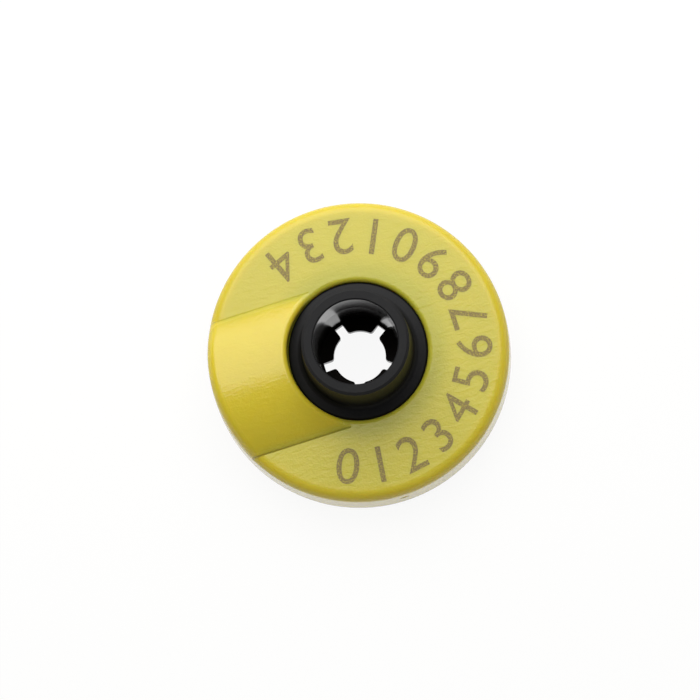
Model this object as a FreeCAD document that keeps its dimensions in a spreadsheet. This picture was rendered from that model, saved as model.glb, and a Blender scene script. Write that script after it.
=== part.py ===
import FreeCAD, Part
import math
import os
import Sketcher
from FreeCAD import Vector, Placement, Rotation

# Female half of an electronic livestock ear tag: a round yellow housing, the locking socket
# that grips the stud of the other half, and the sealed transponder.
# Millimetres. Origin: centre of the flat back. +Z: towards the collar. -X: towards the hump.

doc = FreeCAD.newDocument("ear_tag")
sizes = doc.addObject("Spreadsheet::Sheet", "sizes")

rows = [
    # housing
    ("disc_radius", "15.1", "outer radius at the back"),
    ("side_draft", "2", "draft of the side wall in degrees"),
    ("face_height", "5.4", "back to front face"),
    ("edge_round", "1.1", "front edge of the disc"),
    ("foot_bevel", "0.25", "back edge of the disc"),
    ("face_wall", "1.3", "wall under the front face"),
    ("rim_wall", "1.35", "side wall around the coil channel"),
    ("bore_radius", "6.9", "opening for the socket neck"),
    ("bore_round", "0.5", "front edge of that opening"),
    ("fit_gap", "0.05", "radial gap between assembled mouldings"),
    # hump
    ("hump_width", "14", "across the hump at the front face"),
    ("hump_rise", "2.2", "hump above the front face"),
    ("hump_start", "2.9", "axis to the flat inner end"),
    ("hump_inset", "0.05", "step from the side wall to the end of the hump"),
    ("hump_end_round", "1", "outer end of the hump"),
    ("roof_wall", "1.1", "wall over the electronics pocket"),
    ("pocket_wall", "1", "wall between the opening and the electronics pocket"),
    # back plate
    ("plate_thickness", "1.2", "back plate"),
    ("plate_ledge", "0.35", "ledge the plate is welded to"),
    # socket
    ("chamber_radius", "4.15", "chamber for the stud tip"),
    ("collar_top", "11.6", "top of the collar"),
    ("collar_wall", "1.1", "collar wall at the top"),
    ("collar_flare", "0.3", "growth of the wall down to the shoulder"),
    ("shoulder_rise", "0.3", "fall of the shoulder to its edge"),
    ("shoulder_height", "5.05", "outer edge of the shoulder"),
    ("flange_thickness", "1.4", "buried flange"),
    ("flange_reach", "1.55", "flange beyond the neck"),
    ("flange_flat", "7.9", "axis to the flat that stops the socket turning"),
    ("foot_radius", "5.3", "socket foot in the back plate"),
    ("chamber_floor", "6.4", "end of the parallel part of the chamber"),
    ("bowl_radius", "3.9", "chamber at the roots of the petals"),
    ("entry_radius", "3", "funnel mouth in the back"),
    ("petal_root", "0.8", "upper side of the petals at the root"),
    ("petal_tip_low", "0.25", "lower edge of the grip land"),
    ("petal_tip_high", "1.05", "upper edge of the grip land"),
    ("grip_radius", "2.6", "hole between the petal tips"),
    ("petal_crown", "1.2", "highest point of a petal"),
    ("petal_crown_offset", "0.17", "crown behind the tip"),
    ("slot_width", "0.9", "slot between petals"),
    ("slot_reach", "3.65", "axis to the slot end"),
    ("tip_round", "0.3", "petal corners at the slots"),
    ("collar_bevel", "0.25", "outer edge of the collar top"),
    ("mouth_bevel", "0.12", "inner edge of the collar top"),
    ("shoulder_blend", "0.6", "blend between shoulder and collar"),
    ("neck_bevel", "0.15", "outer edge of the shoulder"),
    # transponder
    ("skirt_wall", "0.85", "ring wall between flange and coil"),
    ("coil_gap", "0.1", "play inside the coil"),
    ("coil_play", "0.6", "play outside the coil"),
    ("coil_height", "2.15", "coil winding, axial"),
    ("board_thickness", "0.5", "circuit board"),
    ("board_gap", "0.2", "board to the inner wall of the pocket"),
    ("board_side_gap", "0.4", "board to the side walls of the pocket"),
    ("board_end_gap", "1.65", "board to the wall of the coil channel"),
    ("board_width", "9.2", "board across the hump"),
    ("chip_side", "2.4", "transponder chip"),
    ("chip_height", "1", "transponder chip"),
    ("chip_offset", "2.6", "chip centre off the hump axis"),
    ("capacitor_length", "2.3", "charge capacitor"),
    ("capacitor_width", "2.9", "charge capacitor"),
    ("capacitor_height", "1.6", "charge capacitor"),
    ("capacitor_offset", "0.45", "capacitor centre off the hump axis"),
    ("tuning_length", "1", "tuning capacitor"),
    ("tuning_width", "0.5", "tuning capacitor"),
    ("tuning_height", "0.5", "tuning capacitor"),
    ("tuning_inset", "0.2", "capacitor to the side edge of the board"),
    ("tuning_offset", "0.6", "capacitor centre inwards of the middle of the board"),
    ("wire_radius", "0.12", "coil leads"),
    ("lead_offset", "2.45", "first lead off the hump axis"),
    ("lead_spacing", "0.9", "between the two leads"),
    ("joint_radius", "0.36", "solder joints"),
    # gate mark
    ("gate_height", "2.9", "gate mark above the back"),
    ("gate_length", "1", "gate mark along the wall"),
    ("gate_width", "0.55", "gate mark up the wall"),
    ("gate_depth", "0.16", "gate mark into the wall"),
    # derived
    ("zero", "0", "axis and back"),
    ("full_turn", "360", "degrees"),
    ("face_radius", "=disc_radius - face_height * tan(side_draft)", "disc at the face"),
    ("clear_height", "=collar_top + 2", "above everything"),
    ("below", "=-plate_thickness", "under the back"),
    ("hollow_core", "=bore_radius / 2", "inside the opening"),
    ("clear_radius", "=disc_radius * 2", "outside everything"),
    ("block_reach", "=disc_radius + 0.5", "past the side wall"),
    ("hump_side_radius", "=disc_radius - hump_inset", "end of the hump, carried down"),
    ("hump_side_top", "=hump_side_radius - clear_height * tan(side_draft)", "and carried up"),
    ("hump_opening_radius", "=bore_radius + fit_gap", "opening through the hump"),
    ("ceiling", "=face_height - face_wall", "inside of the front face"),
    ("channel_radius", "=disc_radius - rim_wall", "coil channel"),
    ("rebate_radius", "=channel_radius + plate_ledge", "seat of the back plate"),
    ("plate_radius", "=rebate_radius - fit_gap", "back plate"),
    ("neck_radius", "=bore_radius - fit_gap", "socket neck"),
    ("flange_radius", "=neck_radius + flange_reach", "socket flange"),
    ("flange_top", "=plate_thickness + flange_thickness", "top of the flange"),
    ("recess_radius", "=flange_radius + fit_gap", "recess for the flange"),
    ("skirt_radius", "=recess_radius + skirt_wall", "outside of the ring wall"),
    ("key_seat", "=flange_flat + fit_gap", "housing side of the flat"),
    ("key_radius", "=recess_radius + skirt_wall / 2", "key inside the ring wall"),
    ("plate_hole", "=foot_radius + fit_gap", "hole in the back plate"),
    ("collar_radius", "=chamber_radius + collar_wall", "collar at the top"),
    ("collar_root", "=collar_radius + collar_flare", "collar at the shoulder"),
    ("shoulder_inner_height", "=shoulder_height + shoulder_rise", "inner edge of the shoulder"),
    ("petal_crown_radius", "=grip_radius + petal_crown_offset", "highest ring of the petals"),
    ("hump_top", "=face_height + hump_rise", "top of the hump"),
    ("hump_half", "=hump_width / 2", "half width"),
    ("hump_radius", "=(hump_half * hump_half + hump_rise * hump_rise) / (2 * hump_rise)", "arch"),
    ("hump_centre", "=hump_top - hump_radius", "centre height of the arch"),
    ("hump_depth", "=hump_radius - hump_top", "centre of the arch below the back"),
    ("hump_root", "=plate_thickness", "underside of the hump block"),
    ("roof_radius", "=hump_radius - roof_wall", "inside of the arch"),
    ("coil_inner", "=skirt_radius + coil_gap", "inside of the winding"),
    ("coil_outer", "=channel_radius - coil_play", "outside of the winding"),
    ("coil_top", "=plate_thickness + coil_height", "top of the winding"),
    ("board_top", "=coil_top + board_thickness", "top of the board"),
    ("pocket_end", "=channel_radius - fit_gap * 2", "outer wall of the pocket"),
    ("pocket_start", "=bore_radius + pocket_wall", "inner wall of the pocket"),
    ("pocket_half_width", "=board_width / 2 + board_side_gap", "side walls of the pocket"),
    ("board_start", "=pocket_start + board_gap", "inner edge of the board"),
    ("board_end", "=channel_radius - board_end_gap", "outer edge of the board"),
    ("board_length", "=board_end - board_start", "board along the hump"),
    ("board_middle", "=(board_start + board_end) / 2", "middle of the board"),
]

for line, (alias, content, note) in enumerate(rows, start=1):
    sizes.set("A%d" % line, note)
    sizes.set("B%d" % line, content)
    sizes.setAlias("B%d" % line, alias)
doc.recompute()


def size(name):
    sign = -1.0 if name.startswith("-") else 1.0
    return sign * float(sizes.get(name.lstrip("-")))


def bound(name):
    return "-sizes." + name[1:] if name.startswith("-") else "sizes." + name


def bind(thing, **values):
    for key, text in values.items():
        thing.setExpression(key.replace("__", "."), text)


def named(kind, label, body=None):
    thing = body.newObject(kind, label) if body else doc.addObject(kind, label)
    thing.Label = label
    return thing


def sketchOn(body, label, plane, lift=None):
    sketch = named("Sketcher::SketchObject", label, body)
    support = [part for part in body.Origin.OriginFeatures if part.Role == plane]
    sketch.AttachmentSupport = (support[0], [""])
    sketch.MapMode = "FlatFace"
    if lift:
        sketch.AttachmentOffset = Placement(Vector(0, 0, size(lift)), Rotation())
        sketch.setExpression("AttachmentOffset.Base.z", bound(lift))
    return sketch


def pin(sketch, line, end, across, up):
    # ties one point to named sizes, measured from the origin
    for kind, axis, name in (("DistanceX", -2, across), ("DistanceY", -1, up)):
        if name == "zero":
            sketch.addConstraint(Sketcher.Constraint("PointOnObject", line, end, axis))
        elif name:
            index = sketch.addConstraint(Sketcher.Constraint(kind, -1, 1, line, end, size(name)))
            sketch.setExpression("Constraints[%d]" % index, bound(name))


def loop(sketch, corners):
    first = sketch.GeometryCount
    points = [Vector(size(x), size(y), 0) for x, y in corners]
    count = len(points)
    for step in range(count):
        sketch.addGeometry(Part.LineSegment(points[step], points[(step + 1) % count]))
    for step in range(count):
        joined = (first + step, 2, first + (step + 1) % count, 1)
        sketch.addConstraint(Sketcher.Constraint("Coincident", *joined))
    for step, (x, y) in enumerate(corners):
        pin(sketch, first + step, 1, x, y)
    return sketch


def turn(body, label, corners, cut=False):
    sketch = loop(sketchOn(body, label + "_profile", "XZ_Plane"), corners)
    feature = named("PartDesign::Groove" if cut else "PartDesign::Revolution", label, body)
    feature.Profile = sketch
    feature.ReferenceAxis = (sketch, ["V_Axis"])
    bind(feature, Angle="sizes.full_turn")
    body.Tip = feature
    doc.recompute()
    return feature


def extrude(body, label, sketch, length, cut=False, flip=False):
    feature = named("PartDesign::Pocket" if cut else "PartDesign::Pad", label, body)
    feature.Profile = sketch
    bind(feature, Length=length)
    feature.Reversed = flip
    body.Tip = feature
    doc.recompute()
    return feature


def edgesWhere(feature, test):
    return ["Edge%d" % (i + 1) for i, edge in enumerate(feature.Shape.Edges) if test(edge)]


def ring(radius, height):
    # full circle about the axis
    def test(edge):
        box = edge.BoundBox
        flat = abs(box.ZMin - size(height)) < 1e-4 and abs(box.ZMax - size(height)) < 1e-4
        return flat and abs(box.XMax - size(radius)) < 1e-3 and box.XLength > size(radius)
    return test


def soften(body, label, test, amount, kind="Fillet"):
    base = body.Tip
    feature = named("PartDesign::" + kind, label, body)
    feature.Base = (base, edgesWhere(base, test))
    bind(feature, **{"Radius" if kind == "Fillet" else "Size": amount})
    body.Tip = feature
    doc.recompute()
    return feature


def newBody(label):
    return named("PartDesign::Body", label)


# front housing: disc

cap = newBody("cap")
turn(cap, "disc", [
    ("bore_radius", "zero"), ("disc_radius", "zero"),
    ("face_radius", "face_height"), ("bore_radius", "face_height")])
soften(cap, "front_edge", ring("face_radius", "face_height"), "sizes.edge_round")
soften(cap, "opening_edge", ring("bore_radius", "face_height"), "sizes.bore_round")
soften(cap, "back_edge", ring("disc_radius", "zero"), "sizes.foot_bevel", "Chamfer")

# hollow inside: seat of the back plate, coil channel and recess for the flange
hollow = newBody("hollow")
turn(hollow, "hollow_ring", [
    ("hollow_core", "below"), ("rebate_radius", "below"),
    ("rebate_radius", "plate_thickness"), ("channel_radius", "plate_thickness"),
    ("channel_radius", "ceiling"), ("skirt_radius", "ceiling"),
    ("skirt_radius", "plate_thickness"), ("recess_radius", "plate_thickness"),
    ("recess_radius", "flange_top"), ("hollow_core", "flange_top")])

# what the hollow leaves standing is the key that meets the flat of the socket flange
keySketch = sketchOn(hollow, "key_profile", "XY_Plane", "plate_thickness")
span = math.acos(size("key_seat") / size("key_radius"))
keySketch.addGeometry(Part.ArcOfCircle(
    Part.Circle(Vector(0, 0, 0), Vector(0, 0, 1), size("key_radius")), -span, span))
keySketch.addGeometry(Part.LineSegment(
    Vector(size("key_seat"), size("key_radius") * math.sin(span), 0),
    Vector(size("key_seat"), -size("key_radius") * math.sin(span), 0)))
keySketch.addConstraint(Sketcher.Constraint("Coincident", 0, 3, -1, 1))
keySketch.addConstraint(Sketcher.Constraint("Coincident", 0, 2, 1, 1))
keySketch.addConstraint(Sketcher.Constraint("Coincident", 1, 2, 0, 1))
keySketch.addConstraint(Sketcher.Constraint("Vertical", 1))
radiusAt = keySketch.addConstraint(Sketcher.Constraint("Radius", 0, size("key_radius")))
keySketch.setExpression("Constraints[%d]" % radiusAt, "sizes.key_radius")
pin(keySketch, 1, 1, "key_seat", None)
extrude(hollow, "key", keySketch, "sizes.flange_thickness + 1", cut=True, flip=True)

# front housing: hump over the electronics


def archOn(body, label, radius, root, reach=None):
    # arch above a flat chord, or above two upright sides when a reach is given
    sketch = sketchOn(body, label, "YZ_Plane")
    arc = size(radius)
    drop = size(root) - size("hump_centre")
    half = size(reach) if reach else math.sqrt(arc * arc - drop * drop)
    rise = math.sqrt(arc * arc - half * half)
    lean = math.acos(half / arc)
    centre = Vector(0, size("hump_centre"), 0)
    sketch.addGeometry(Part.ArcOfCircle(
        Part.Circle(centre, Vector(0, 0, 1), arc), lean, math.pi - lean))
    sketch.addConstraint(Sketcher.Constraint("PointOnObject", 0, 3, -2))
    at = sketch.addConstraint(Sketcher.Constraint("Radius", 0, arc))
    sketch.setExpression("Constraints[%d]" % at, bound(radius))
    pin(sketch, 0, 3, None, "hump_centre")
    left, right = Vector(-half, size(root), 0), Vector(half, size(root), 0)
    high = size("hump_centre") + rise
    if reach:
        leftHigh, rightHigh = Vector(-half, high, 0), Vector(half, high, 0)
        sketch.addGeometry(Part.LineSegment(leftHigh, left))
        sketch.addGeometry(Part.LineSegment(left, right))
        sketch.addGeometry(Part.LineSegment(right, rightHigh))
        chain = ((0, 2, 1, 1), (1, 2, 2, 1), (2, 2, 3, 1), (3, 2, 0, 1))
        pin(sketch, 2, 1, "-" + reach, root)
        pin(sketch, 2, 2, reach, root)
        sketch.addConstraint(Sketcher.Constraint("Vertical", 1))
        sketch.addConstraint(Sketcher.Constraint("Vertical", 3))
    else:
        sketch.addGeometry(Part.LineSegment(left, right))
        chain = ((0, 2, 1, 1), (1, 2, 0, 1))
        pin(sketch, 1, 1, None, root)
        pin(sketch, 1, 2, None, root)
    for joined in chain:
        sketch.addConstraint(Sketcher.Constraint("Coincident", *joined))
    return sketch


hump = newBody("hump")
extrude(hump, "hump_arch", archOn(hump, "hump_section", "hump_radius", "hump_root"),
        "sizes.block_reach", flip=True)
turn(hump, "hump_side", [
    ("hump_side_radius", "zero"), ("clear_radius", "zero"),
    ("clear_radius", "clear_height"), ("hump_side_top", "clear_height")], cut=True)
turn(hump, "hump_opening", [
    ("zero", "zero"), ("hump_opening_radius", "zero"),
    ("hump_opening_radius", "clear_height"), ("zero", "clear_height")], cut=True)


def crest(low, high):
    # upper edge of the hump between two distances from the axis
    def test(edge):
        box = edge.BoundBox
        return box.ZMax > size("hump_top") - 0.2 and low < -box.XMin < high and \
            box.YLength > size("hump_half")
    return test


soften(hump, "hump_outer_end", crest(size("bore_radius") + 2, size("disc_radius") + 1),
       "sizes.hump_end_round")
soften(hump, "hump_inner_end", crest(size("bore_radius") - 1, size("bore_radius") + 1),
       "sizes.bore_round")
startSketch = loop(sketchOn(hump, "hump_start_profile", "XY_Plane"), [
    ("-hump_start", "-clear_radius"), ("clear_radius", "-clear_radius"),
    ("clear_radius", "clear_radius"), ("-hump_start", "clear_radius")])
extrude(hump, "hump_start_face", startSketch, "sizes.clear_height", cut=True, flip=True)

# pocket for the electronics
pocket = newBody("pocket")
extrude(pocket, "pocket_arch",
        archOn(pocket, "pocket_section", "roof_radius", "coil_top", "pocket_half_width"),
        "sizes.block_reach", flip=True)
turn(pocket, "pocket_side", [
    ("pocket_end", "zero"), ("clear_radius", "zero"),
    ("clear_radius", "clear_height"), ("pocket_end", "clear_height")], cut=True)
pocketSketch = loop(sketchOn(pocket, "pocket_start_profile", "XY_Plane"), [
    ("-pocket_start", "-clear_radius"), ("clear_radius", "-clear_radius"),
    ("clear_radius", "clear_radius"), ("-pocket_start", "clear_radius")])
extrude(pocket, "pocket_start_face", pocketSketch, "sizes.clear_height", cut=True, flip=True)

# injection gate mark on the side wall
gate = named("Part::Ellipsoid", "gate_mark")
bind(gate, Radius1="sizes.gate_width / 2", Radius2="sizes.gate_length / 2",
     Radius3="sizes.gate_depth", Placement__Base__z="sizes.gate_height",
     Placement__Base__y="-(sizes.disc_radius - sizes.gate_height * tan(sizes.side_draft))")

outside = named("Part::MultiFuse", "outside")
outside.Shapes = [cap, hump]
outside.Refine = True
inside = named("Part::MultiFuse", "inside")
inside.Shapes = [hollow, pocket, gate]
housing = named("Part::Cut", "front_housing")
housing.Base = outside
housing.Tool = inside
doc.recompute()

# back plate

plate = newBody("back_plate")
turn(plate, "plate_disc", [
    ("plate_hole", "zero"), ("plate_radius", "zero"),
    ("plate_radius", "plate_thickness"), ("plate_hole", "plate_thickness")])

# locking socket

socket = newBody("locking_socket")
turn(socket, "socket_body", [
    ("entry_radius", "zero"), ("foot_radius", "zero"), ("foot_radius", "plate_thickness"),
    ("flange_radius", "plate_thickness"), ("flange_radius", "flange_top"),
    ("neck_radius", "flange_top"), ("neck_radius", "shoulder_height"),
    ("collar_root", "shoulder_inner_height"),
    ("collar_radius", "collar_top"), ("chamber_radius", "collar_top"),
    ("chamber_radius", "chamber_floor"), ("bowl_radius", "petal_root"),
    ("petal_crown_radius", "petal_crown"), ("grip_radius", "petal_tip_high"),
    ("grip_radius", "petal_tip_low")])
soften(socket, "collar_edge", ring("collar_radius", "collar_top"), "sizes.collar_bevel",
       "Chamfer")
soften(socket, "mouth_edge", ring("chamber_radius", "collar_top"), "sizes.mouth_bevel",
       "Chamfer")
soften(socket, "collar_blend", ring("collar_root", "shoulder_inner_height"),
       "sizes.shoulder_blend")
soften(socket, "shoulder_edge", ring("neck_radius", "shoulder_height"), "sizes.neck_bevel",
       "Chamfer")

flatSketch = loop(sketchOn(socket, "flange_flat_profile", "XY_Plane", "plate_thickness"), [
    ("flange_flat", "-flange_radius"), ("clear_radius", "-flange_radius"),
    ("clear_radius", "flange_radius"), ("flange_flat", "flange_radius")])
extrude(socket, "flange_flat_cut", flatSketch, "sizes.flange_thickness", cut=True, flip=True)

slotSketch = sketchOn(socket, "slot_profile", "XY_Plane")
reach, half = size("slot_reach"), size("slot_width") / 2
outline = [Vector(0, half, 0), Vector(-reach, half, 0), Vector(-reach, -half, 0), Vector(0, -half, 0)]
for corner in range(4):
    slotSketch.addGeometry(Part.LineSegment(outline[corner], outline[(corner + 1) % 4]))
for corner in range(4):
    ends = (corner, 2, (corner + 1) % 4, 1)
    slotSketch.addConstraint(Sketcher.Constraint("Coincident", *ends))
slotSketch.addConstraint(Sketcher.Constraint("Horizontal", 0))
slotSketch.addConstraint(Sketcher.Constraint("Horizontal", 2))
slotSketch.addConstraint(Sketcher.Constraint("Vertical", 1))
slotSketch.addConstraint(Sketcher.Constraint("Symmetric", 0, 1, 2, 2, -1, 1))
reachAt = slotSketch.addConstraint(Sketcher.Constraint("DistanceX", -1, 1, 1, 1, -reach))
slotSketch.setExpression("Constraints[%d]" % reachAt, "-sizes.slot_reach")
widthAt = slotSketch.addConstraint(Sketcher.Constraint("DistanceY", 1, 2, 1, 1, half * 2))
slotSketch.setExpression("Constraints[%d]" % widthAt, "sizes.slot_width")
slot = extrude(socket, "slot", slotSketch, "sizes.chamber_floor", cut=True, flip=True)
slots = named("PartDesign::PolarPattern", "slots", socket)
slots.Originals = [slot]
slots.Axis = (slotSketch, ["N_Axis"])
slots.Angle = 360
slots.Occurrences = 5
socket.Tip = slots
doc.recompute()


def petalCorner(edge):
    # upright edges where the grip land meets a slot
    box = edge.BoundBox
    away = math.hypot(box.Center.x, box.Center.y)
    return box.ZLength > 0.3 and box.XLength < 1e-3 and box.YLength < 1e-3 and \
        abs(away - size("grip_radius")) < 0.05


soften(socket, "petal_corners", petalCorner, "sizes.tip_round")

# antenna coil with its two leads

coil = newBody("coil_winding")
turn(coil, "winding", [
    ("coil_inner", "plate_thickness"), ("coil_outer", "plate_thickness"),
    ("coil_outer", "coil_top"), ("coil_inner", "coil_top")])


def cylinder(label, **values):
    thing = named("Part::Cylinder", label)
    bind(thing, **values)
    return thing


def block(label, **values):
    thing = named("Part::Box", label)
    bind(thing, **values)
    return thing


leadX = "-(sizes.board_end + sizes.wire_radius + sizes.fit_gap)"
leadZ = "sizes.board_top + sizes.wire_radius"
leadPieces = []
joints = []
for side, offset in (("start", "-sizes.lead_offset"),
                     ("finish", "-(sizes.lead_offset + sizes.lead_spacing)")):
    rise = cylinder("lead_%s_rise" % side, Radius="sizes.wire_radius",
                    Height="%s - sizes.plate_thickness - 1" % leadZ,
                    Placement__Base__x=leadX, Placement__Base__y=offset,
                    Placement__Base__z="sizes.plate_thickness + 1")
    bend = named("Part::Sphere", "lead_%s_bend" % side)
    bind(bend, Radius="sizes.wire_radius", Placement__Base__x=leadX,
         Placement__Base__y=offset, Placement__Base__z=leadZ)
    run = cylinder("lead_%s_run" % side, Radius="sizes.wire_radius",
                   Height="sizes.joint_radius * 2",
                   Placement__Base__x=leadX, Placement__Base__y=offset,
                   Placement__Base__z=leadZ)
    run.Placement = Placement(run.Placement.Base, Rotation(Vector(0, 1, 0), 90))
    leadPieces += [rise, bend, run]
    dome = named("Part::Sphere", "dome_%s" % side)
    dome.Angle1 = 0
    bind(dome, Radius="sizes.joint_radius",
         Placement__Base__x="%s + sizes.joint_radius * 2" % leadX, Placement__Base__y=offset,
         Placement__Base__z="sizes.board_top")
    joints.append((dome, "lead_joint_%s" % side))
antenna = named("Part::MultiFuse", "antenna_coil")
antenna.Shapes = [coil] + leadPieces
doc.recompute()

# circuit board and its parts

board = block("circuit_board", Length="sizes.board_length", Width="sizes.board_width",
              Height="sizes.board_thickness", Placement__Base__x="-sizes.board_end",
              Placement__Base__y="-sizes.board_width / 2",
              Placement__Base__z="sizes.coil_top")
chip = block("transponder_chip", Length="sizes.chip_side", Width="sizes.chip_side",
             Height="sizes.chip_height",
             Placement__Base__x="-sizes.board_middle - sizes.chip_side / 2",
             Placement__Base__y="sizes.chip_offset - sizes.chip_side / 2",
             Placement__Base__z="sizes.board_top")
store = block("charge_capacitor", Length="sizes.capacitor_length",
              Width="sizes.capacitor_width", Height="sizes.capacitor_height",
              Placement__Base__x="-sizes.board_middle - sizes.capacitor_length / 2",
              Placement__Base__y="-sizes.capacitor_offset - sizes.capacitor_width / 2",
              Placement__Base__z="sizes.board_top")
tuning = block("tuning_capacitor", Length="sizes.tuning_length",
               Width="sizes.tuning_width", Height="sizes.tuning_height",
               Placement__Base__x="-sizes.board_middle + sizes.tuning_offset - "
                                  "sizes.tuning_length / 2",
               Placement__Base__y="sizes.tuning_inset - sizes.board_width / 2",
               Placement__Base__z="sizes.board_top")
leadJoints = []
for dome, label in joints:
    joint = named("Part::Cut", label)
    joint.Base = dome
    joint.Tool = antenna
    leadJoints.append(joint)
doc.recompute()

bad = []
for thing in doc.Objects:
    if "Invalid" in thing.State or "Error" in thing.State:
        bad.append("%s %s" % (thing.Label, thing.State))
    elif hasattr(thing, "Shape") and thing.TypeId != "Sketcher::SketchObject" \
            and not thing.TypeId.startswith("App::"):
        if thing.Shape.isNull() or not thing.Shape.isValid():
            bad.append("%s shape" % thing.Label)
if bad:
    raise SystemExit("not written: " + ", ".join(bad))

os.makedirs("parts", exist_ok=True)
nodes = [housing, plate, socket, antenna, board, chip, store, tuning] + leadJoints
for node in nodes:
    node.Shape.exportStep("parts/%s.step" % node.Label)
    box = node.Shape.BoundBox
    print(node.Label, "%.2f x %.2f x %.2f" % (box.XLength, box.YLength, box.ZLength))
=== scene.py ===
import math

import bpy
from mathutils import Matrix, Vector


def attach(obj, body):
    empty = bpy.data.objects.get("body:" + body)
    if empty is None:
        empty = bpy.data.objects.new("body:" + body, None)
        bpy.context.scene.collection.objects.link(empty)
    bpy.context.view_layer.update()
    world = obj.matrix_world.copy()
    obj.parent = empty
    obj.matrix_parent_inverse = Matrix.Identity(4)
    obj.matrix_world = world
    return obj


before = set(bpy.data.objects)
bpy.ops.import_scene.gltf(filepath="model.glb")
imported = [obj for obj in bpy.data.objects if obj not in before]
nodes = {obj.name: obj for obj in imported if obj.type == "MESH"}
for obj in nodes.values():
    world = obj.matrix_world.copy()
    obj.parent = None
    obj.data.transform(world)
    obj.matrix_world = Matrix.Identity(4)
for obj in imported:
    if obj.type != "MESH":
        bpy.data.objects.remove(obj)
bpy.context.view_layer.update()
bpy.ops.object.select_all(action="DESELECT")
print("frame loaded:", len(nodes), "nodes")

mm = 0.001  # lengths in the dictionaries are in mm, angles in degrees


def hexColour(code):
    # sRGB hex to linear
    values = [int(code[i:i + 2], 16) / 255 for i in (1, 3, 5)]
    linear = [v / 12.92 if v <= 0.04045 else ((v + 0.055) / 1.055) ** 2.4 for v in values]
    return (*linear, 1.0)


def addNode(tree, kind, settings=None, links=None):
    node = tree.nodes.new(kind)
    for name, value in (settings or {}).items():
        if isinstance(name, str) and hasattr(node, name):
            setattr(node, name, value)
        else:
            node.inputs[name].default_value = value
    for name, socket in (links or {}).items():
        tree.links.new(socket, node.inputs[name])
    return node


def newMaterial(name):
    material = bpy.data.materials.new(name)
    material.use_nodes = True
    material.node_tree.nodes.clear()
    return material, material.node_tree


def dress(piece, material):
    piece.data.materials.clear()
    piece.data.materials.append(material)


def objectSpace(tree):
    # a point on the piece, its X, Y and Z, and how far it is from the tag's axis
    place = addNode(tree, "ShaderNodeTexCoord").outputs["Object"]
    axes = addNode(tree, "ShaderNodeSeparateXYZ", links={0: place}).outputs
    flat = addNode(tree, "ShaderNodeCombineXYZ", links={"X": axes["X"], "Y": axes["Y"]})
    reach = addNode(tree, "ShaderNodeVectorMath", {"operation": "LENGTH"}, {0: flat.outputs[0]})
    return place, axes, reach.outputs["Value"]


def lookingRays(tree):
    # all ray kinds, and 1 for those that show a thing instead of lighting it
    ray = addNode(tree, "ShaderNodeLightPath").outputs
    seen = ray["Is Camera Ray"]
    for name in ("Is Glossy Ray", "Is Transmission Ray"):
        either = addNode(tree, "ShaderNodeMath", {"operation": "MAXIMUM"}, {0: seen, 1: ray[name]})
        seen = either.outputs[0]
    return ray, seen


def towards(compass, lean):
    # compass: angle from +X, lean: angle from straight up
    turn, tip = math.radians(compass), math.radians(lean)
    return Vector((math.cos(turn) * math.sin(tip), math.sin(turn) * math.sin(tip), math.cos(tip)))


# thermoplastic polyurethane, injection moulded in a spark-eroded mould: yellow and a little cloudy,
# with a fine grain, a slight ripple and a soft sheen. Light goes a little way in, so it looks greener
# where the front wall is thin over the hollow, and more so over the black flange. The hump is
# smoother and the side wall glossier. The grain is drawn coarse enough to show.
tpuLook = {
    "yellow": "#CCB82E", "pale": "#D0BD36",
    "thin": "#C2B636", "thinPale": "#C8BC40", "overFlange": "#B7B137",
    "cloudSize": 5.0, "cloudDetail": 3.0,
    "flangeFrom": 7.6, "flangeTo": 9.8, "thinFrom": 13.3, "thinTo": 14.6,  # from the axis
    "faceFrom": 4.6, "humpFrom": 5.45, "humpBlend": 0.5,  # up from the back
    "humpStart": 2.9, "footFrom": 6.94, "footTo": 7.12, "footHeight": 0.20,
    "grainSize": 0.20, "grainDepth": 0.010,
    "rippleSize": 0.45, "rippleDepth": 0.030, "rippleScale": (0.5, 1.0, 1.0),  # longer along X
    "rippleDetail": 2.5, "rippleTwist": 0.6,
    "roughness": 0.30, "roughnessSpread": 0.06, "humpRoughness": 0.21, "sideRoughness": 0.12,
    "sideFrom": 0.55, "sideTo": 0.15,  # upright part of the normal
    "ior": 1.5, "scatter": 0.5, "scatterReach": 1.5, "scatterSpread": (1.0, 0.7, 0.2),
}
tpu, tree = newMaterial("thermoplastic_polyurethane")
place, axes, reach = objectSpace(tree)
cloud = addNode(tree, "ShaderNodeTexNoise", {
    "Scale": 1 / (tpuLook["cloudSize"] * mm), "Detail": tpuLook["cloudDetail"]}, {"Vector": place})

# where the wall is thin: the front face inside the rim, off the hump
onFace = addNode(tree, "ShaderNodeMath", {
    "operation": "GREATER_THAN", 1: tpuLook["faceFrom"] * mm}, {0: axes["Z"]})
onHump = addNode(tree, "ShaderNodeMapRange", {
    "interpolation_type": "SMOOTHSTEP", "From Min": tpuLook["humpFrom"] * mm,
    "From Max": (tpuLook["humpFrom"] + tpuLook["humpBlend"]) * mm}, {"Value": axes["Z"]})
offHump = addNode(tree, "ShaderNodeMath", {"operation": "SUBTRACT", 0: 1.0},
                  {1: onHump.outputs["Result"]})
insideRim = addNode(tree, "ShaderNodeMapRange", {
    "interpolation_type": "SMOOTHSTEP", "From Min": tpuLook["thinTo"] * mm,
    "From Max": tpuLook["thinFrom"] * mm}, {"Value": reach})
thinWall = addNode(tree, "ShaderNodeMath", {"operation": "MULTIPLY"},
                   {0: insideRim.outputs["Result"], 1: onFace.outputs[0]})
thinHere = addNode(tree, "ShaderNodeMath", {"operation": "MULTIPLY"},
                   {0: thinWall.outputs[0], 1: offHump.outputs[0]})
nearFlange = addNode(tree, "ShaderNodeMapRange", {
    "interpolation_type": "SMOOTHSTEP", "From Min": tpuLook["flangeTo"] * mm,
    "From Max": tpuLook["flangeFrom"] * mm}, {"Value": reach})

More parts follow.
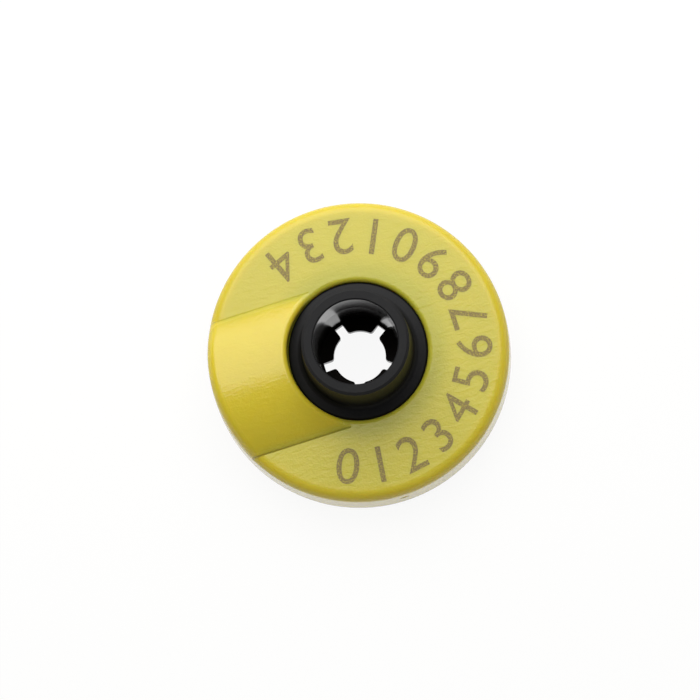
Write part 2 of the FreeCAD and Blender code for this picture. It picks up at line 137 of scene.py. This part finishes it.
# colour
thick = addNode(tree, "ShaderNodeMix", {
    "data_type": "RGBA", 6: hexColour(tpuLook["yellow"]), 7: hexColour(tpuLook["pale"])},
    {0: cloud.outputs["Fac"]})
thin = addNode(tree, "ShaderNodeMix", {
    "data_type": "RGBA", 6: hexColour(tpuLook["thin"]), 7: hexColour(tpuLook["thinPale"])},
    {0: cloud.outputs["Fac"]})
overFlange = addNode(tree, "ShaderNodeMix", {
    "data_type": "RGBA", 7: hexColour(tpuLook["overFlange"])},
    {0: nearFlange.outputs["Result"], 6: thin.outputs[2]})
greened = addNode(tree, "ShaderNodeMix", {"data_type": "RGBA"},
                  {0: thinHere.outputs[0], 6: thick.outputs[2], 7: overFlange.outputs[2]})

# grain and ripple
grain = addNode(tree, "ShaderNodeTexNoise", {"Scale": 1 / (tpuLook["grainSize"] * mm)},
                {"Vector": place})
stretched = addNode(tree, "ShaderNodeMapping", {"Scale": tpuLook["rippleScale"]}, {"Vector": place})
ripple = addNode(tree, "ShaderNodeTexNoise", {
    "Scale": 1 / (tpuLook["rippleSize"] * mm), "Detail": tpuLook["rippleDetail"],
    "Distortion": tpuLook["rippleTwist"]}, {"Vector": stretched.outputs[0]})
grainHeight = addNode(tree, "ShaderNodeMath", {
    "operation": "MULTIPLY", 1: tpuLook["grainDepth"] * mm}, {0: grain.outputs["Fac"]})
rippleHeight = addNode(tree, "ShaderNodeMath", {
    "operation": "MULTIPLY", 1: tpuLook["rippleDepth"] * mm}, {0: ripple.outputs["Fac"]})
skinHeight = addNode(tree, "ShaderNodeMath", {"operation": "ADD"},
                     {0: grainHeight.outputs[0], 1: rippleHeight.outputs[0]})

# small upright step where the hump meets the face, on the hump's side of the collar
offMiddle = addNode(tree, "ShaderNodeMath", {"operation": "ABSOLUTE"}, {0: axes["Y"]})
foot = addNode(tree, "ShaderNodeMapRange", {
    "interpolation_type": "SMOOTHSTEP", "From Min": tpuLook["footTo"] * mm,
    "From Max": tpuLook["footFrom"] * mm, "To Max": tpuLook["footHeight"] * mm},
    {"Value": offMiddle.outputs[0]})
pastStart = addNode(tree, "ShaderNodeMath", {
    "operation": "LESS_THAN", 1: -tpuLook["humpStart"] * mm}, {0: axes["X"]})
footHere = addNode(tree, "ShaderNodeMath", {"operation": "MULTIPLY"},
                   {0: foot.outputs["Result"], 1: pastStart.outputs[0]})
footOnTop = addNode(tree, "ShaderNodeMath", {"operation": "MULTIPLY"},
                    {0: footHere.outputs[0], 1: onFace.outputs[0]})
height = addNode(tree, "ShaderNodeMath", {"operation": "ADD"},
                 {0: skinHeight.outputs[0], 1: footOnTop.outputs[0]})
bump = addNode(tree, "ShaderNodeBump", {"Distance": 1.0}, {"Height": height.outputs[0]})

# gloss: cloudy on the face, smoother on the hump, smoothest on the side wall
grained = addNode(tree, "ShaderNodeMapRange", {
    "To Min": tpuLook["roughness"] - tpuLook["roughnessSpread"] / 2,
    "To Max": tpuLook["roughness"] + tpuLook["roughnessSpread"] / 2},
    {"Value": cloud.outputs["Fac"]})
geometry = addNode(tree, "ShaderNodeNewGeometry")
normal = addNode(tree, "ShaderNodeSeparateXYZ", links={0: geometry.outputs["Normal"]})
upright = addNode(tree, "ShaderNodeMath", {"operation": "ABSOLUTE"}, {0: normal.outputs["Z"]})
onSide = addNode(tree, "ShaderNodeMapRange", {
    "interpolation_type": "SMOOTHSTEP", "From Min": tpuLook["sideFrom"],
    "From Max": tpuLook["sideTo"]}, {"Value": upright.outputs[0]})
topRoughness = addNode(tree, "ShaderNodeMix", {3: tpuLook["humpRoughness"]},
                       {0: onHump.outputs["Result"], 2: grained.outputs["Result"]})
roughness = addNode(tree, "ShaderNodeMix", {3: tpuLook["sideRoughness"]},
                    {0: onSide.outputs["Result"], 2: topRoughness.outputs[0]})
shader = addNode(tree, "ShaderNodeBsdfPrincipled", {
    "IOR": tpuLook["ior"], "Subsurface Weight": tpuLook["scatter"],
    "Subsurface Radius": tpuLook["scatterSpread"],
    "Subsurface Scale": tpuLook["scatterReach"] * mm}, {
    "Base Color": greened.outputs[2], "Roughness": roughness.outputs[0],
    "Normal": bump.outputs[0]})
addNode(tree, "ShaderNodeOutputMaterial", links={"Surface": shader.outputs[0]})

# acetal, injection moulded: black, half matt and finely grained outside with a little dust, glossier
# and smoother inside the chamber, as a polished core pin leaves it. The grain is drawn coarse enough
# to show.
acetalLook = {
    "black": "#151516", "inside": "#1A1613", "dust": "#1C1B1A",
    "chamberRadius": 4.35, "mouthHeight": 11.3,
    "grainSize": 0.14, "grainDepth": 0.006, "polish": 6,  # grain this many times shallower inside
    "dustSize": 0.9, "dustDetail": 5.0, "dustFrom": 0.55, "dustTo": 0.8,
    "outerRoughness": 0.50, "innerRoughness": 0.16, "ior": 1.48, "specular": 0.2,
}
acetal, tree = newMaterial("acetal")
place, axes, reach = objectSpace(tree)
inRadius = addNode(tree, "ShaderNodeMath", {
    "operation": "LESS_THAN", 1: acetalLook["chamberRadius"] * mm}, {0: reach})
underMouth = addNode(tree, "ShaderNodeMath", {
    "operation": "LESS_THAN", 1: acetalLook["mouthHeight"] * mm}, {0: axes["Z"]})
inside = addNode(tree, "ShaderNodeMath", {"operation": "MULTIPLY"},
                 {0: inRadius.outputs[0], 1: underMouth.outputs[0]})
dust = addNode(tree, "ShaderNodeTexNoise", {
    "Scale": 1 / (acetalLook["dustSize"] * mm), "Detail": acetalLook["dustDetail"]},
    {"Vector": place})
dusty = addNode(tree, "ShaderNodeMapRange", {
    "From Min": acetalLook["dustFrom"], "From Max": acetalLook["dustTo"]},
    {"Value": dust.outputs["Fac"]})
outer = addNode(tree, "ShaderNodeMix", {
    "data_type": "RGBA", 6: hexColour(acetalLook["black"]), 7: hexColour(acetalLook["dust"])},
    {0: dusty.outputs["Result"]})
shade = addNode(tree, "ShaderNodeMix", {
    "data_type": "RGBA", 7: hexColour(acetalLook["inside"])},
    {0: inside.outputs[0], 6: outer.outputs[2]})
roughness = addNode(tree, "ShaderNodeMapRange", {
    "To Min": acetalLook["outerRoughness"], "To Max": acetalLook["innerRoughness"]},
    {"Value": inside.outputs[0]})
grain = addNode(tree, "ShaderNodeTexNoise", {"Scale": 1 / (acetalLook["grainSize"] * mm)},
                {"Vector": place})
depth = addNode(tree, "ShaderNodeMapRange", {
    "To Min": acetalLook["grainDepth"] * mm,
    "To Max": acetalLook["grainDepth"] * mm / acetalLook["polish"]},
    {"Value": inside.outputs[0]})
height = addNode(tree, "ShaderNodeMath", {"operation": "MULTIPLY"},
                 {0: grain.outputs["Fac"], 1: depth.outputs["Result"]})
bump = addNode(tree, "ShaderNodeBump", {"Distance": 1.0}, {"Height": height.outputs[0]})
shader = addNode(tree, "ShaderNodeBsdfPrincipled", {
    "IOR": acetalLook["ior"], "Specular IOR Level": acetalLook["specular"]}, {
    "Base Color": shade.outputs[2], "Roughness": roughness.outputs["Result"],
    "Normal": bump.outputs[0]})
addNode(tree, "ShaderNodeOutputMaterial", links={"Surface": shader.outputs[0]})

# laser mark in polyurethane: the beam foams and chars the skin to a speckled grey-brown
markLook = {
    "brown": "#7F6D3A", "skin": "#B0A23A", "speckSize": 0.15, "speckFrom": 0.48, "speckTo": 0.68,
    "roughness": 0.55, "ior": 1.5,
}
laserMark, tree = newMaterial("laser_marked_polyurethane")
place = addNode(tree, "ShaderNodeTexCoord").outputs["Object"]
speck = addNode(tree, "ShaderNodeTexNoise", {"Scale": 1 / (markLook["speckSize"] * mm)},
                {"Vector": place})
cover = addNode(tree, "ShaderNodeMapRange", {
    "From Min": markLook["speckFrom"], "From Max": markLook["speckTo"]},
    {"Value": speck.outputs["Fac"]})
charred = addNode(tree, "ShaderNodeMix", {
    "data_type": "RGBA", 6: hexColour(markLook["brown"]), 7: hexColour(markLook["skin"])},
    {0: cover.outputs["Result"]})
shader = addNode(tree, "ShaderNodeBsdfPrincipled", {
    "IOR": markLook["ior"], "Roughness": markLook["roughness"]}, {"Base Color": charred.outputs[2]})
addNode(tree, "ShaderNodeOutputMaterial", links={"Surface": shader.outputs[0]})

# enamelled copper wire, wound in layers: fine turns that catch the light as lines, with painted shade
# darkening the grooves between turns
wireLook = {"copper": "#B4602F", "grooveShade": "#8A3F1C", "wire": 0.12, "lift": 0.25, "roughness": 0.3}
windings, tree = newMaterial("enamelled_copper")
_, axes, reach = objectSpace(tree)
layer = addNode(tree, "ShaderNodeMath", {"operation": "ADD"}, {0: reach, 1: axes["Z"]})
turns = addNode(tree, "ShaderNodeMath", {
    "operation": "MULTIPLY", 1: 2 * math.pi / (wireLook["wire"] * mm)}, {0: layer.outputs[0]})
wave = addNode(tree, "ShaderNodeMath", {"operation": "SINE"}, {0: turns.outputs[0]})
raised = addNode(tree, "ShaderNodeMapRange", {"From Min": -1.0}, {"Value": wave.outputs[0]})
# painted shade: the copper of each turn's crest darkens to the dark colour in the groove between
# turns
tone = addNode(tree, "ShaderNodeMix", {
    "data_type": "RGBA", 6: hexColour(wireLook["grooveShade"]), 7: hexColour(wireLook["copper"])},
    {0: raised.outputs["Result"]})
height = addNode(tree, "ShaderNodeMath", {
    "operation": "MULTIPLY", 1: wireLook["wire"] * mm * wireLook["lift"]},
    {0: raised.outputs["Result"]})
bump = addNode(tree, "ShaderNodeBump", {"Distance": 1.0}, {"Height": height.outputs[0]})
shader = addNode(tree, "ShaderNodeBsdfPrincipled", {
    "Metallic": 1.0, "Roughness": wireLook["roughness"]},
    {"Base Color": tone.outputs[2], "Normal": bump.outputs[0]})
addNode(tree, "ShaderNodeOutputMaterial", links={"Surface": shader.outputs[0]})

# solder mask over glass-fibre board: deep green, glossy, with the cloth of the board faint below
maskLook = {"green": "#14582C", "thread": "#1B6B38", "weave": 0.45, "roughness": 0.25, "ior": 1.5}
solderMask, tree = newMaterial("solder_mask")
place = addNode(tree, "ShaderNodeTexCoord").outputs["Object"]
weave = addNode(tree, "ShaderNodeTexChecker", {
    "Scale": 1 / (maskLook["weave"] * mm), "Color1": hexColour(maskLook["green"]),
    "Color2": hexColour(maskLook["thread"])}, {"Vector": place})
shader = addNode(tree, "ShaderNodeBsdfPrincipled", {
    "IOR": maskLook["ior"], "Roughness": maskLook["roughness"]},
    {"Base Color": weave.outputs["Color"]})
addNode(tree, "ShaderNodeOutputMaterial", links={"Surface": shader.outputs[0]})

# epoxy moulding compound of the chip: charcoal, matt, with glints of its mineral filler
epoxyLook = {
    "charcoal": "#1E1E20", "filler": "#3A3A3D", "speck": 0.09, "speckFrom": 0.6, "speckTo": 0.75,
    "roughness": 0.55, "ior": 1.55,
}
epoxy, tree = newMaterial("epoxy_moulding_compound")
place = addNode(tree, "ShaderNodeTexCoord").outputs["Object"]
speck = addNode(tree, "ShaderNodeTexNoise", {"Scale": 1 / (epoxyLook["speck"] * mm)},
                {"Vector": place})
sparse = addNode(tree, "ShaderNodeMapRange", {
    "From Min": epoxyLook["speckFrom"], "From Max": epoxyLook["speckTo"]},
    {"Value": speck.outputs["Fac"]})
tone = addNode(tree, "ShaderNodeMix", {
    "data_type": "RGBA", 6: hexColour(epoxyLook["charcoal"]), 7: hexColour(epoxyLook["filler"])},
    {0: sparse.outputs["Result"]})
shader = addNode(tree, "ShaderNodeBsdfPrincipled", {
    "IOR": epoxyLook["ior"], "Roughness": epoxyLook["roughness"]}, {"Base Color": tone.outputs[2]})
addNode(tree, "ShaderNodeOutputMaterial", links={"Surface": shader.outputs[0]})

# barium titanate ceramic of the capacitors: fired, tan, slightly mottled
ceramicLook = {"tan": "#8C6A45", "dark": "#745536", "mottle": 0.3, "roughness": 0.4, "ior": 1.6}
ceramic, tree = newMaterial("barium_titanate_ceramic")
place = addNode(tree, "ShaderNodeTexCoord").outputs["Object"]
mottle = addNode(tree, "ShaderNodeTexNoise", {"Scale": 1 / (ceramicLook["mottle"] * mm)},
                 {"Vector": place})
tone = addNode(tree, "ShaderNodeMix", {
    "data_type": "RGBA", 6: hexColour(ceramicLook["tan"]), 7: hexColour(ceramicLook["dark"])},
    {0: mottle.outputs["Fac"]})
shader = addNode(tree, "ShaderNodeBsdfPrincipled", {
    "IOR": ceramicLook["ior"], "Roughness": ceramicLook["roughness"]},
    {"Base Color": tone.outputs[2]})
addNode(tree, "ShaderNodeOutputMaterial", links={"Surface": shader.outputs[0]})

# tin solder, reflowed: bright grey with a frosted skin
solderLook = {"grey": "#C9C9C4", "frost": 0.08, "smoothest": 0.18, "roughest": 0.43}
solder, tree = newMaterial("tin_solder")
place = addNode(tree, "ShaderNodeTexCoord").outputs["Object"]
frost = addNode(tree, "ShaderNodeTexNoise", {"Scale": 1 / (solderLook["frost"] * mm)},
                {"Vector": place})
spread = addNode(tree, "ShaderNodeMapRange", {
    "To Min": solderLook["smoothest"], "To Max": solderLook["roughest"]},
    {"Value": frost.outputs["Fac"]})
shader = addNode(tree, "ShaderNodeBsdfPrincipled", {
    "Metallic": 1.0, "Base Color": hexColour(solderLook["grey"])},
    {"Roughness": spread.outputs["Result"]})
addNode(tree, "ShaderNodeOutputMaterial", links={"Surface": shader.outputs[0]})

finishes = {
    "front_housing": tpu, "back_plate": tpu, "locking_socket": acetal,
    "antenna_coil": windings, "circuit_board": solderMask, "transponder_chip": epoxy,
    "charge_capacitor": ceramic, "tuning_capacitor": ceramic,
    "lead_joint_start": solder, "lead_joint_finish": solder,
}
for name, material in finishes.items():
    dress(nodes[name], material)
print("nodes dressed:", len(finishes))

# printed number: plain counting digits on an arc round the socket, tops towards the centre
number = {
    "digits": "012345678901234", "radius": 11.5, "firstAngle": -112.4, "step": 16.1,
    "height": 3.55, "width": 2.5, "face": 5.4, "above": 0.012, "curveSteps": 8,
}
marks = []
for index, digit in enumerate(number["digits"]):
    bpy.ops.object.text_add()
    mark = bpy.context.object
    mark.data.body = digit
    mark.data.resolution_u = number["curveSteps"]
    bpy.ops.object.convert(target="MESH")
    corners = [vertex.co for vertex in mark.data.vertices]
    low = Vector([min(c[axis] for c in corners) for axis in range(3)])
    high = Vector([max(c[axis] for c in corners) for axis in range(3)])
    tall = number["height"] * mm / (high.y - low.y)
    wide = min(tall, number["width"] * mm / (high.x - low.x))
    centred = Matrix.Translation(-(low + high) / 2)
    sized = Matrix.Diagonal((wide, tall, 1.0, 1.0))
    angle = math.radians(number["firstAngle"] + number["step"] * index)
    turned = Matrix.Rotation(angle + math.pi / 2, 4, "Z")
    spot = Vector((math.cos(angle), math.sin(angle), 0)) * number["radius"] * mm
    spot.z = number["face"] * mm + number["above"] * mm
    mark.data.transform(Matrix.Translation(spot) @ turned @ sized @ centred)
    marks.append(mark)
bpy.ops.object.select_all(action="DESELECT")
for mark in marks:
    mark.select_set(True)
bpy.context.view_layer.objects.active = marks[0]
bpy.ops.object.join()
printed = bpy.context.object
printed.name = "printed_number"
dress(printed, laserMark)
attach(printed, "root")
print("number marked:", len(marks), "digits")

# floor: white paper that keeps a faint shadow, clear from below, just under the back of the tag
floorLook = {"side": 1600.0, "drop": 0.05, "white": "#FBF9F0", "shadow": 0.08}
bpy.ops.object.select_all(action="DESELECT")
bpy.ops.mesh.primitive_plane_add(size=floorLook["side"] * mm,
                                 location=(0, 0, -floorLook["drop"] * mm))
floor = bpy.context.object
floor.name = "floor"
floorPaint, tree = newMaterial("white_paper")
_, seen = lookingRays(tree)
share = addNode(tree, "ShaderNodeMath", {"operation": "MULTIPLY", 1: 1 - floorLook["shadow"]},
                {0: seen})
paper = addNode(tree, "ShaderNodeBsdfDiffuse", {"Color": hexColour(floorLook["white"])})
glow = addNode(tree, "ShaderNodeEmission", {"Color": (1, 1, 1, 1), "Strength": 1.0})
both = addNode(tree, "ShaderNodeMixShader", links={
    0: share.outputs[0], 1: paper.outputs[0], 2: glow.outputs[0]})
clear = addNode(tree, "ShaderNodeBsdfTransparent")
under = addNode(tree, "ShaderNodeNewGeometry")
sided = addNode(tree, "ShaderNodeMixShader", links={
    0: under.outputs["Backfacing"], 1: both.outputs[0], 2: clear.outputs[0]})
addNode(tree, "ShaderNodeOutputMaterial", links={"Surface": sided.outputs[0]})
dress(floor, floorPaint)

# world: white to the camera, dimmer high up in reflections, even ambient light on surfaces
worldLook = {"ambient": 0.28, "above": 0.10, "whiteTo": 0.10, "dimFrom": 0.32}
world = bpy.data.worlds.new("studio")
bpy.context.scene.world = world
world.use_nodes = True
tree = world.node_tree
tree.nodes.clear()
way = addNode(tree, "ShaderNodeTexCoord").outputs["Generated"]
lift = addNode(tree, "ShaderNodeSeparateXYZ", links={0: way}).outputs["Z"]
wall = addNode(tree, "ShaderNodeMapRange", {
    "interpolation_type": "SMOOTHSTEP", "From Min": worldLook["whiteTo"],
    "From Max": worldLook["dimFrom"], "To Min": 1.0, "To Max": worldLook["above"]},
    {"Value": lift})
ray, seen = lookingRays(tree)
shown = addNode(tree, "ShaderNodeMath", {"operation": "MAXIMUM"},
                {0: ray["Is Camera Ray"], 1: wall.outputs["Result"]})
strength = addNode(tree, "ShaderNodeMix", {2: worldLook["ambient"]}, {0: seen, 3: shown.outputs[0]})
sky = addNode(tree, "ShaderNodeBackground", {"Color": (1, 1, 1, 1)},
              {"Strength": strength.outputs[0]})
addNode(tree, "ShaderNodeOutputWorld", links={"Surface": sky.outputs[0]})

# one large soft lamp; power in watts
keyLamp = {"compass": 82.0, "lean": 36.0, "distance": 150.0, "width": 190.0, "length": 190.0,
           "power": 0.345}
toLamp = towards(keyLamp["compass"], keyLamp["lean"])
bpy.ops.object.light_add(type="AREA", location=toLamp * keyLamp["distance"] * mm)
lamp = bpy.context.object
lamp.name = "key"
lamp.rotation_euler = toLamp.to_track_quat("Z", "Y").to_euler()
lamp.data.shape = "RECTANGLE"
lamp.data.size = keyLamp["width"] * mm
lamp.data.size_y = keyLamp["length"] * mm
lamp.data.energy = keyLamp["power"]
print("studio lit")

# camera: aims at the tag's axis, at height above the back; up is the compass angle of the view's top
lens = {"distance": 344.0, "compass": 269.6, "lean": 8.4, "up": 72.5, "height": 4.3,
        "focal": 178.8, "shiftX": -0.0120, "shiftY": 0.0029, "near": 10, "far": 5000}
toCamera = towards(lens["compass"], lens["lean"])
aim = Vector((0, 0, lens["height"] * mm))
up = Vector((math.cos(math.radians(lens["up"])), math.sin(math.radians(lens["up"])), 0))
up = (up - up.dot(toCamera) * toCamera).normalized()
side = up.cross(toCamera)
bpy.ops.object.camera_add()
camera = bpy.context.object
turned = Matrix((side, up, toCamera)).transposed().to_4x4()
camera.matrix_world = Matrix.Translation(aim + toCamera * lens["distance"] * mm) @ turned
camera.data.lens = lens["focal"]
camera.data.shift_x = lens["shiftX"]
camera.data.shift_y = lens["shiftY"]
camera.data.clip_start = lens["near"] * mm
camera.data.clip_end = lens["far"] * mm
bpy.context.scene.camera = camera
bpy.context.scene.view_settings.view_transform = "Standard"
print("camera placed")

print("scene finished")
